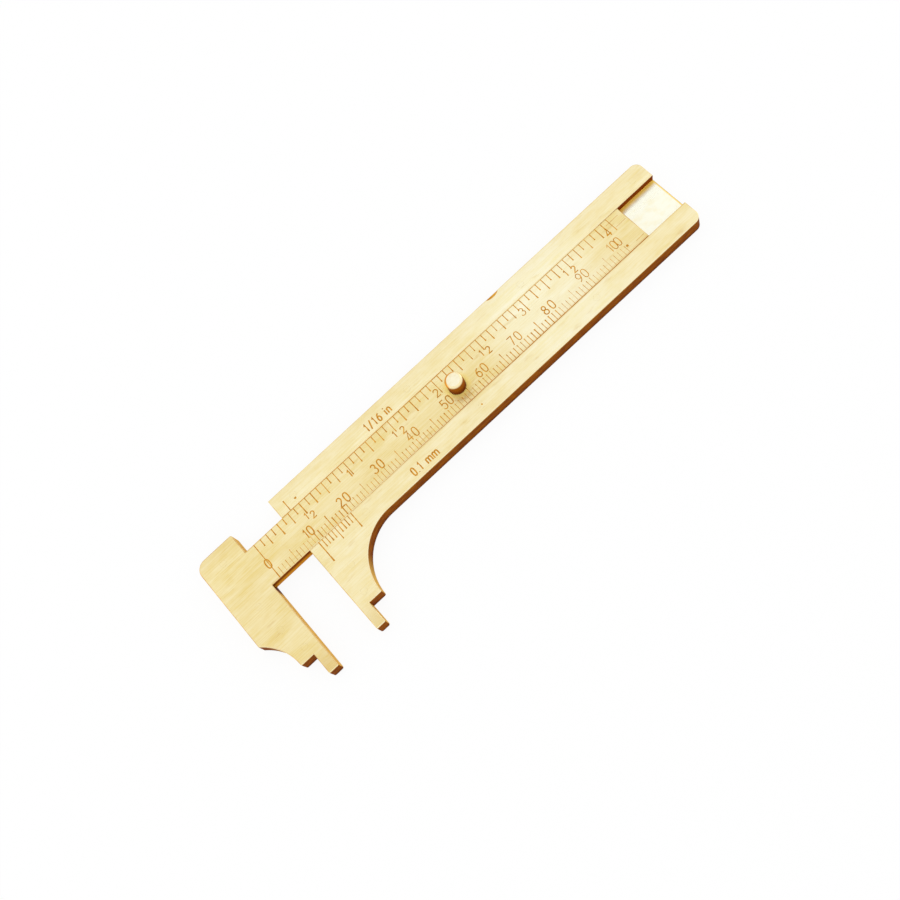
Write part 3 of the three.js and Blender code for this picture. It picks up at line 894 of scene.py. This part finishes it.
LINE_WIDTH = 0.3
LINE_DEPTH = 0.08
LINE_SWELL = (0.85, 0.75, 1.2)
MILLIMETRE_WEIGHTS = (0.5, 0.95, 0.55, 0.6, 0.7, 0.7, 0.75, 0.9, 0.5, 0.45)
LINE_NECK_SHARE = 0.7
LINE_PAST_EDGE = 0.3
LINE_LEAN = 0.025
LENGTH_JITTER = 0.12
ZERO_SHIFT = -0.2
INCH_CREEP = 1.001
SETTLING_LENGTH = 10
FADE_TO_RIGHT = 0.2
INCH = 25.4
INCH_COUNT = 4
SIXTEENTHS = 16
SIXTEENTH_LINE = 1.95
EIGHTH_LINE = 3
QUARTER_LINE = 3.2
INCH_LINE = 3.85
MILLIMETRE_COUNT = 100
MILLIMETRE_LINE = 2.05
FIVE_LINE = 3.35
TEN_LINE = 2.1
VERNIER_PITCH = 0.9
VERNIER_COUNT = 10
VERNIER_LINE = 2.15
VERNIER_ZERO_LINE = 5.6
VERNIER_FIVE_LINE = 3.3
VERNIER_TEN_LINE = 4.2
INDEX_LINE = 2.8
BITE_RANGE = (0.75, 1.1)
FADE_RANGE = (0.75, 1.05)
HAND_SEED = 11

hand = random.Random(HAND_SEED)


def cut_line(cutter, x, edge, end, weight=1.0):
    """A scale line cut by hand from the plate's edge, never quite square, and deepest at its end."""
    bite = weight * hand.uniform(*BITE_RANGE)
    lean = hand.uniform(-LINE_LEAN, LINE_LEAN)
    neck = edge + (end - edge) * LINE_NECK_SHARE
    points = [(x - lean, edge), (x + lean * (LINE_NECK_SHARE * 2 - 1), neck), (x + lean, end)]
    groove(cutter, points, LINE_WIDTH * bite, LINE_DEPTH * bite, swell=LINE_SWELL)


def inch_length(i):
    if i % SIXTEENTHS == 0:
        return INCH_LINE
    if i % (SIXTEENTHS // 4) == 0:
        return QUARTER_LINE
    return EIGHTH_LINE if i % (SIXTEENTHS // 8) == 0 else SIXTEENTH_LINE


def millimetre_length(i):
    if i % 10 == 0:
        return TEN_LINE
    return FIVE_LINE if i % 5 == 0 else MILLIMETRE_LINE


def slide_scales(cutter):
    reach = SLIDE_RIGHT - ZERO_X
    cut_line(cutter, ZERO_X + ZERO_SHIFT, BAR_TOP + LINE_PAST_EDGE, BAR_FOOT - LINE_PAST_EDGE)
    for i in range(1, INCH_COUNT * SIXTEENTHS + 1):
        x = i * INCH / SIXTEENTHS * INCH_CREEP
        end = BAR_TOP - inch_length(i) + hand.uniform(-LENGTH_JITTER, LENGTH_JITTER)
        cut_line(cutter, ZERO_X + x, BAR_TOP + LINE_PAST_EDGE, end, 1 - FADE_TO_RIGHT * x / reach)
    for x in range(1, MILLIMETRE_COUNT + 1):
        end = BAR_FOOT + millimetre_length(x) + hand.uniform(-LENGTH_JITTER, LENGTH_JITTER)
        fade = hand.uniform(*FADE_RANGE) * MILLIMETRE_WEIGHTS[(x - 1) // 10]
        shift = ZERO_SHIFT * max(0, 1 - x / SETTLING_LENGTH)
        cut_line(cutter, ZERO_X + x + shift, BAR_FOOT - LINE_PAST_EDGE, end, fade)


# Left edge, foot, gap and weight of each label on the slide, from the zero line and the centre line
MILLIMETRE_LABELS = (
    ("0", -0.9, -1.8, 0, 1), ("10", 9.1, -2.76, 0.1, 1), ("20", 18.8, -2.75, 0.65, 1),
    ("30", 28.8, -2.45, 0.6, 1), ("40", 38.8, -2.45, 0.55, 0.85), ("50", 48.7, -2.45, 0.45, 0.85),
    ("60", 58.6, -2.45, 0.55, 0.85), ("70", 68.3, -2.35, 0.65, 0.75), ("80", 78.0, -2.35, 0.75, 0.85),
    ("90", 88.05, -2.25, 0.42, 0.62), ("100", 97.15, -2.1, 0, 0.66),
)
INCH_LABELS = (("1", 24.35, 0.85, 1.05), ("2", 49.3, 0.87, 0.8), ("3", 74.4, 1.2, 0.65), ("4", 99.4, 1.08, 1))

# Left edge and foot of the 1 and the 2 by each half-inch line, from that line and the centre line
HALF_LABELS = (
    (-1.0, 0.5, 0.35, -0.15), (-1.15, 0.5, 0.8, 0.05), (-1.4, 0.65, 0.2, 0.2), (-2.0, 0.95, -0.15, 0.4),
)


def slide_figures(cutter):
    for text, left, foot, gap, weight in MILLIMETRE_LABELS:
        figures(cutter, text, ZERO_X + left, MID_Y + foot, FIGURE_WIDTH, FIGURE_HEIGHT, gap, weight)
    for text, left, foot, weight in INCH_LABELS:
        figures(cutter, text, ZERO_X + left, MID_Y + foot, FIGURE_WIDTH, INCH_FIGURE_HEIGHT, weight=weight)
    size = (HALF_FIGURE_WIDTH, HALF_FIGURE_HEIGHT)
    for i, (one_left, one_foot, two_left, two_foot) in enumerate(HALF_LABELS):
        line = ZERO_X + (i + 0.5) * INCH
        figures(cutter, "1", line + one_left, MID_Y + one_foot, *size, weight=HALF_FIGURE_WEIGHT)
        figures(cutter, "2", line + two_left, MID_Y + two_foot, *size, weight=HALF_FIGURE_WEIGHT)


# Short scratches by the slide's right end, from the zero line and the centre line
SCRATCHES = (((100.7, 3.5), (104.2, 3.6)), ((101.9, 1.7), (104.8, 1.76)), ((102.6, -3.86), (104.9, -3.8)))
SCRATCH_WIDTH = 0.08
SCRATCH_DEPTH = 0.02


def slide_scratches(cutter):
    for ends in SCRATCHES:
        points = [(ZERO_X + x, MID_Y + y) for x, y in ends]
        groove(cutter, points, SCRATCH_WIDTH, SCRATCH_DEPTH)


# The frame's half

UNIT_WIDTH = 0.8
UNIT_HEIGHT = 1.95
UNIT_GAP = 0.42
UNIT_WEIGHT = 1.1
INCH_UNIT = ("1/16 in", 33.6, 5.9)
MILLIMETRE_UNIT = ("0.1 mm", 34.6, -8.9)
NICK_LEFT = 71.2
NICK_LENGTH = 3.6
NICK_REACH = 0.7
NICK_DEPTH = 0.25
NICK_STEPS = 14
DENT_PLACE = (12.95, 6.3)
DENT_RADIUS = 0.3
DENT_DEPTH = 0.1
DENT_FACETS = 24


def frame_pocket(cutter):
    left = FRAME_LEFT + POCKET_START
    near = MID_Y + POCKET_OFFSET - POCKET_WIDTH / 2
    block(cutter, left, left + POCKET_LENGTH, near, near + POCKET_WIDTH, BACK_TOP - POCKET_DEPTH, FACE_TOP)


def make_back_plate():
    """Only the channel's floor shows of the plate's upper side."""
    piece = plate("back_plate_sheet", back_outline, 0, BACK_TOP, BACK_ROUND, SEAM_ROUND)
    for face in piece.data.polygons:
        if face.normal.z > LEVEL_SHARE:
            face.material_index = CUT
    cutter = rivet_holes(UPPER_RIVETS + LOWER_RIVETS)
    frame_pocket(cutter)
    carve(piece, cutter)
    finishes = (BACK_FACE, SLIDE_EDGE, BRASS_WALL, CHANNEL_FLOOR, SEAM_EDGE, BRASS_WALL)
    dress(piece, finishes, "back_plate", "frame")


def nick_outline(reach):
    left = ZERO_X + NICK_LEFT
    shares = [i / NICK_STEPS for i in range(NICK_STEPS + 1)]
    curve = [(left + NICK_LENGTH * s, RAIL_TOP_Y - reach * math.sin(math.pi * s) ** 0.5) for s in shares]
    outer = RAIL_TOP_Y + NICK_REACH
    return [*curve, (curve[-1][0], outer), (curve[0][0], outer)]


def edge_nick(cutter):
    """A sloping dent in the frame's upper edge."""
    low, high = FACE_TOP - NICK_DEPTH, FACE_TOP + NICK_DEPTH
    prism(cutter, nick_outline(0), nick_outline(NICK_REACH * 2), low, high, CUT)


def face_dent(cutter):
    x, y = DENT_PLACE
    top = FACE_TOP + DENT_DEPTH
    profile = [(0, FACE_TOP - DENT_DEPTH), (DENT_RADIUS * 2, top), (0, top)]
    turn(cutter, profile, ZERO_X + x, MID_Y + y, DENT_FACETS, (CUT, CUT))


RAIL_FINISHES = (RAIL_FACE, RAIL_EDGE, BRASS_WALL, BRASS_CUT, SEAM_EDGE, CHANNEL_WALL)


def unit(cutter, text, left, foot):
    figures(cutter, text, ZERO_X + left, MID_Y + foot, UNIT_WIDTH, UNIT_HEIGHT, UNIT_GAP, UNIT_WEIGHT)


def make_rail(node, outline, rivets, add_marks):
    piece = plate(f"{node}_sheet", outline, BACK_TOP, FACE_TOP, SEAM_ROUND, FACE_ROUND)
    carve(piece, rivet_holes(rivets))
    marks = bmesh.new()
    add_marks(marks)
    carve(piece, marks)
    dress(piece, RAIL_FINISHES, node, "frame")


def mark_upper_rail(marks):
    edge = MID_Y + channel_half(0)
    cut_line(marks, FRAME_LEFT + FACE_SETBACK, edge - LINE_PAST_EDGE, edge + INDEX_LINE)
    unit(marks, *INCH_UNIT)
    edge_nick(marks)
    face_dent(marks)


def mark_lower_rail(marks):
    edge = MID_Y - channel_half(0)
    lengths = {0: VERNIER_ZERO_LINE, VERNIER_COUNT // 2: VERNIER_FIVE_LINE, VERNIER_COUNT: VERNIER_TEN_LINE}
    for i in range(VERNIER_COUNT + 1):
        x = FRAME_LEFT + FACE_SETBACK + i * VERNIER_PITCH
        cut_line(marks, x, edge + LINE_PAST_EDGE, edge - lengths.get(i, VERNIER_LINE))
    unit(marks, *MILLIMETRE_UNIT)


# The leaf spring under the slide, and its rivet

SPRING_WIDTH = 3.6
SPRING_THICKNESS = 0.25
SPRING_END_GAP = 0.6
SPRING_FLAT = 3.3
SPRING_TIP = 2.4
SPRING_TIP_DIP = 0.26
SPRING_STEPS = 40
SPRING_TIP_STEPS = 8
SPRING_RIVET_DOME = 0.2


def spring_line():
    """The blade's underside: flat where riveted, lifting to the slide, and dipping at its tip."""
    left = FRAME_LEFT + POCKET_START + SPRING_END_GAP
    right = FRAME_LEFT + POCKET_START + POCKET_LENGTH - SPRING_END_GAP
    floor = BACK_TOP - POCKET_DEPTH
    lift = SLIDE_FLOOR - FIT_GAP * 2 - SPRING_THICKNESS - floor
    crest, flat_end = left + SPRING_TIP, right - SPRING_FLAT
    line = [(right, floor)]
    for i in range(SPRING_STEPS + 1):
        share = i / SPRING_STEPS
        rise = lift * (1 - math.cos(math.pi * share)) / 2
        line.append((flat_end + (crest - flat_end) * share, floor + rise))
    for i in range(1, SPRING_TIP_STEPS + 1):
        share = i / SPRING_TIP_STEPS
        line.append((crest - SPRING_TIP * share, floor + lift - SPRING_TIP_DIP * share * share))
    return line


def make_leaf_spring():
    under = spring_line()
    outline = under + [(x, z + SPRING_THICKNESS) for x, z in reversed(under)]
    near = MID_Y + POCKET_OFFSET - SPRING_WIDTH / 2
    solid = bmesh.new()
    first = [solid.verts.new((x, near, z)) for x, z in outline]
    second = [solid.verts.new((x, near + SPRING_WIDTH, z)) for x, z in outline]
    count = len(outline)
    sides = [(first[(i + 1) % count], first[i], second[i], second[(i + 1) % count]) for i in range(count)]
    for corners in (first, second[::-1], *sides):
        solid.faces.new(corners)
    piece = to_object("leaf_spring_blade", solid)
    dress(piece, (SPRING_BRONZE,), "leaf_spring", "frame", SPRING_SHARP)


def quarter_round(radius, top, reach, steps=8):
    """The profile of a rounded rim, from its side to its top."""
    angles = [math.pi / 2 * i / steps for i in range(steps + 1)]
    return [(radius - reach * (1 - math.cos(a)), top - reach * (1 - math.sin(a))) for a in angles]


def make_spring_rivet():
    head = radius_of("spring_rivet")
    top = span("spring_rivet", Z)[1]
    shank = [(STOP_PIN_RADIUS, RIVET_HEAD_DEPTH), (STOP_PIN_RADIUS, top - SPRING_RIVET_DOME)]
    profile = [(0, 0), (head, 0), *shank, *quarter_round(head, top, SPRING_RIVET_DOME), (0, top)]
    turned("spring_rivet", "frame", (RAIL_FACE,), profile, [FACE] * (len(profile) - 1))


# The slide's half

def make_slide():
    piece = plate("slide_bar_sheet", slide_outline, SLIDE_FLOOR, FACE_TOP, SEAM_ROUND, FACE_ROUND)
    cutter = rivet_holes(HEAD_RIVETS)
    left = centre("guide_pin")[X] - OPENING - GROOVE_WIDTH / 2
    near = MID_Y - GROOVE_OFFSET - GROOVE_WIDTH / 2
    block(cutter, left, SLIDE_RIGHT + GROOVE_WIDTH, near, near + GROOVE_WIDTH,
          SLIDE_FLOOR - GROOVE_DEPTH, SLIDE_FLOOR + GROOVE_DEPTH)
    for add in (pin_holes, slide_scales, slide_figures, slide_scratches):
        add(cutter)
    carve(piece, cutter)
    finishes = (SLIDE_FACE, SLIDE_EDGE, BRASS_WALL, BRASS_CUT, SEAM_EDGE, BAR_WALL)
    dress(piece, finishes, "slide_bar", "slide")


def pin_holes(cutter):
    below, above = SLIDE_FLOOR - KNOB_FOOT_DEPTH, FACE_TOP + KNOB_FOOT_DEPTH
    foot, shank = KNOB_FOOT_RADIUS + FIT_GAP, KNOB_SHANK_RADIUS + FIT_GAP
    narrow = [(shank, SLIDE_FLOOR + KNOB_FOOT_DEPTH), (shank, above), (0, above)]
    turn(cutter, [(0, below), (foot, below), (foot, SLIDE_FLOOR), *narrow], *centre("thumb_knob"))
    pin = STOP_PIN_RADIUS + FIT_GAP
    turn(cutter, [(0, 0), (pin, 0), (pin, above), (0, above)], *centre("stop_pin"))


def make_jaw_backing():
    piece = plate("jaw_backing_sheet", backing_outline, 0, SLIDE_FLOOR, BACK_ROUND, SEAM_ROUND)
    carve(piece, rivet_holes(HEAD_RIVETS))
    finishes = (BACK_FACE, SLIDE_EDGE, BRASS_WALL, BRASS_CUT, SEAM_EDGE, BRASS_WALL)
    dress(piece, finishes, "jaw_backing", "slide")


def make_stop_pin():
    mark = [(STOP_MARK_RADIUS, FACE_TOP), (0, FACE_TOP - STOP_MARK_DEPTH)]
    profile = [(0, SLIDE_FLOOR), (STOP_PIN_RADIUS, SLIDE_FLOOR), (STOP_PIN_RADIUS, FACE_TOP), *mark]
    finishes = (SLIDE_FACE, SLIDE_EDGE, BRASS_WALL, BRASS_CUT)
    turned("stop_pin", "slide", finishes, profile, (FACE, WALL, FACE, CUT))


def make_thumb_knob():
    radius = radius_of("thumb_knob")
    seat = FACE_TOP + FIT_GAP
    rim = quarter_round(radius, KNOB_TOP, KNOB_EDGE_RADIUS)
    foot = [(0, SLIDE_FLOOR), (KNOB_FOOT_RADIUS, SLIDE_FLOOR)]
    shank = [(KNOB_SHANK_RADIUS, SLIDE_FLOOR + KNOB_FOOT_DEPTH), (KNOB_SHANK_RADIUS, seat)]
    head = [(radius - FACE_ROUND, seat), (radius, seat + FACE_ROUND), *rim, (0, KNOB_TOP)]
    kinds = [FACE] + [WALL] * 5 + [EDGE] * (len(rim) - 1) + [FACE]
    finishes = (KNOB_FACE, KNOB_EDGE, KNOB_WALL)
    turned("thumb_knob", "slide", finishes, foot + shank + head, kinds, KNOB_FACETS, KNOB_SHARP)


def dress_guide_pin():
    """The guide pin keeps its own shape."""
    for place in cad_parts["guide_pin"].material_slots:
        place.material = BRASS_WALL


make_back_plate()
make_rail("upper_rail", upper_rail_outline, UPPER_RIVETS, mark_upper_rail)
make_rail("lower_rail", lower_rail_outline, LOWER_RIVETS, mark_lower_rail)
make_leaf_spring()
make_spring_rivet()
dress_guide_pin()
make_slide()
make_jaw_backing()
make_stop_pin()
make_thumb_knob()
make_rivets(UPPER_RIVETS + LOWER_RIVETS, "frame", RAIL_FACE)
make_rivets(HEAD_RIVETS, "slide", SLIDE_FACE)


# Table, light and camera, in metres

FLOOR_HALF = 3
FLOOR_DROP = 0.00002
FLOOR_GLOW_SHARE = 0.92
FLOOR_COLOUR = (0.93, 0.93, 0.93, 1)
FLOOR_ROUGHNESS = 0.9
FLOOR_GLOSS = 0.1


def make_floor():
    """A pale table that shows nearly white, with a soft shadow under the part."""
    solid = bmesh.new()
    corners = [(-1, -1), (1, -1), (1, 1), (-1, 1)]
    solid.faces.new([solid.verts.new((x * FLOOR_HALF, y * FLOOR_HALF, -FLOOR_DROP)) for x, y in corners])
    mesh = bpy.data.meshes.new("floor")
    solid.to_mesh(mesh)
    solid.free()
    finish = Finish("pale_table", FLOOR_ROUGHNESS, 0, FLOOR_GLOSS)
    finish.shader.inputs["Base Color"].default_value = FLOOR_COLOUR
    glow = finish.nodes.new("ShaderNodeEmission")
    path = finish.nodes.new("ShaderNodeLightPath")
    seen = path.outputs["Is Camera Ray"]
    for kind in ("Is Glossy Ray", "Is Transmission Ray"):
        seen = finish.math("MAXIMUM", seen, path.outputs[kind])
    both = finish.nodes.new("ShaderNodeMixShader")
    finish.links.new(finish.math("MULTIPLY", seen, FLOOR_GLOW_SHARE), both.inputs["Fac"])
    finish.links.new(finish.shader.outputs["BSDF"], both.inputs[1])
    finish.links.new(glow.outputs["Emission"], both.inputs[2])
    finish.links.new(both.outputs["Shader"], finish.nodes["Material Output"].inputs["Surface"])
    mesh.materials.append(finish.material)
    floor = add_object("floor", mesh)


def make_world():
    """A plain white studio."""
    world = bpy.data.worlds.new("studio")
    bpy.context.scene.world = world
    world.use_nodes = True
    background = world.node_tree.nodes["Background"]
    background.inputs["Color"].default_value = (1, 1, 1, 1)
    background.inputs["Strength"].default_value = 1


SOFTBOX_SIZE = 0.25
SOFTBOX_RADIANCE = 1.2
SOFTBOXES = (("softbox_right", (0.5, 0.1, 0.25)), ("softbox_left", (-0.45, 0.25, 0.3)))


def make_lamps():
    """Square lamps aimed at the part."""
    for name, place in SOFTBOXES:
        lamp = bpy.data.lights.new(name, "AREA")
        lamp.shape = "SQUARE"
        lamp.size = SOFTBOX_SIZE
        lamp.energy = SOFTBOX_RADIANCE * math.pi * SOFTBOX_SIZE * SOFTBOX_SIZE
        holder = add_object(name, lamp)
        holder.location = place
        holder.rotation_mode = "QUATERNION"
        holder.rotation_quaternion = (-Vector(place)).to_track_quat("-Z", "Y")


CAMERA_PLACE = Vector((-0.01914, -0.10464, 0.24842))
CAMERA_AIM = Vector((-0.00795, -0.00116, 0.0038))
CAMERA_ROLL = math.radians(-37.23)
CAMERA_LENS = 51.24
CAMERA_SENSOR = 36
CAMERA_NEAR = 0.01


def make_camera():
    lens = bpy.data.cameras.new("camera")
    lens.sensor_width = CAMERA_SENSOR
    lens.lens = CAMERA_LENS
    lens.clip_start = CAMERA_NEAR
    camera = add_object("camera", lens)
    camera.location = CAMERA_PLACE
    level = (CAMERA_AIM - CAMERA_PLACE).to_track_quat("-Z", "Y")
    camera.rotation_mode = "QUATERNION"
    camera.rotation_quaternion = level @ Quaternion((0, 0, 1), CAMERA_ROLL)
    bpy.context.scene.camera = camera


make_floor()
make_world()
make_lamps()
make_camera()
bpy.context.scene.view_settings.view_transform = "Standard"
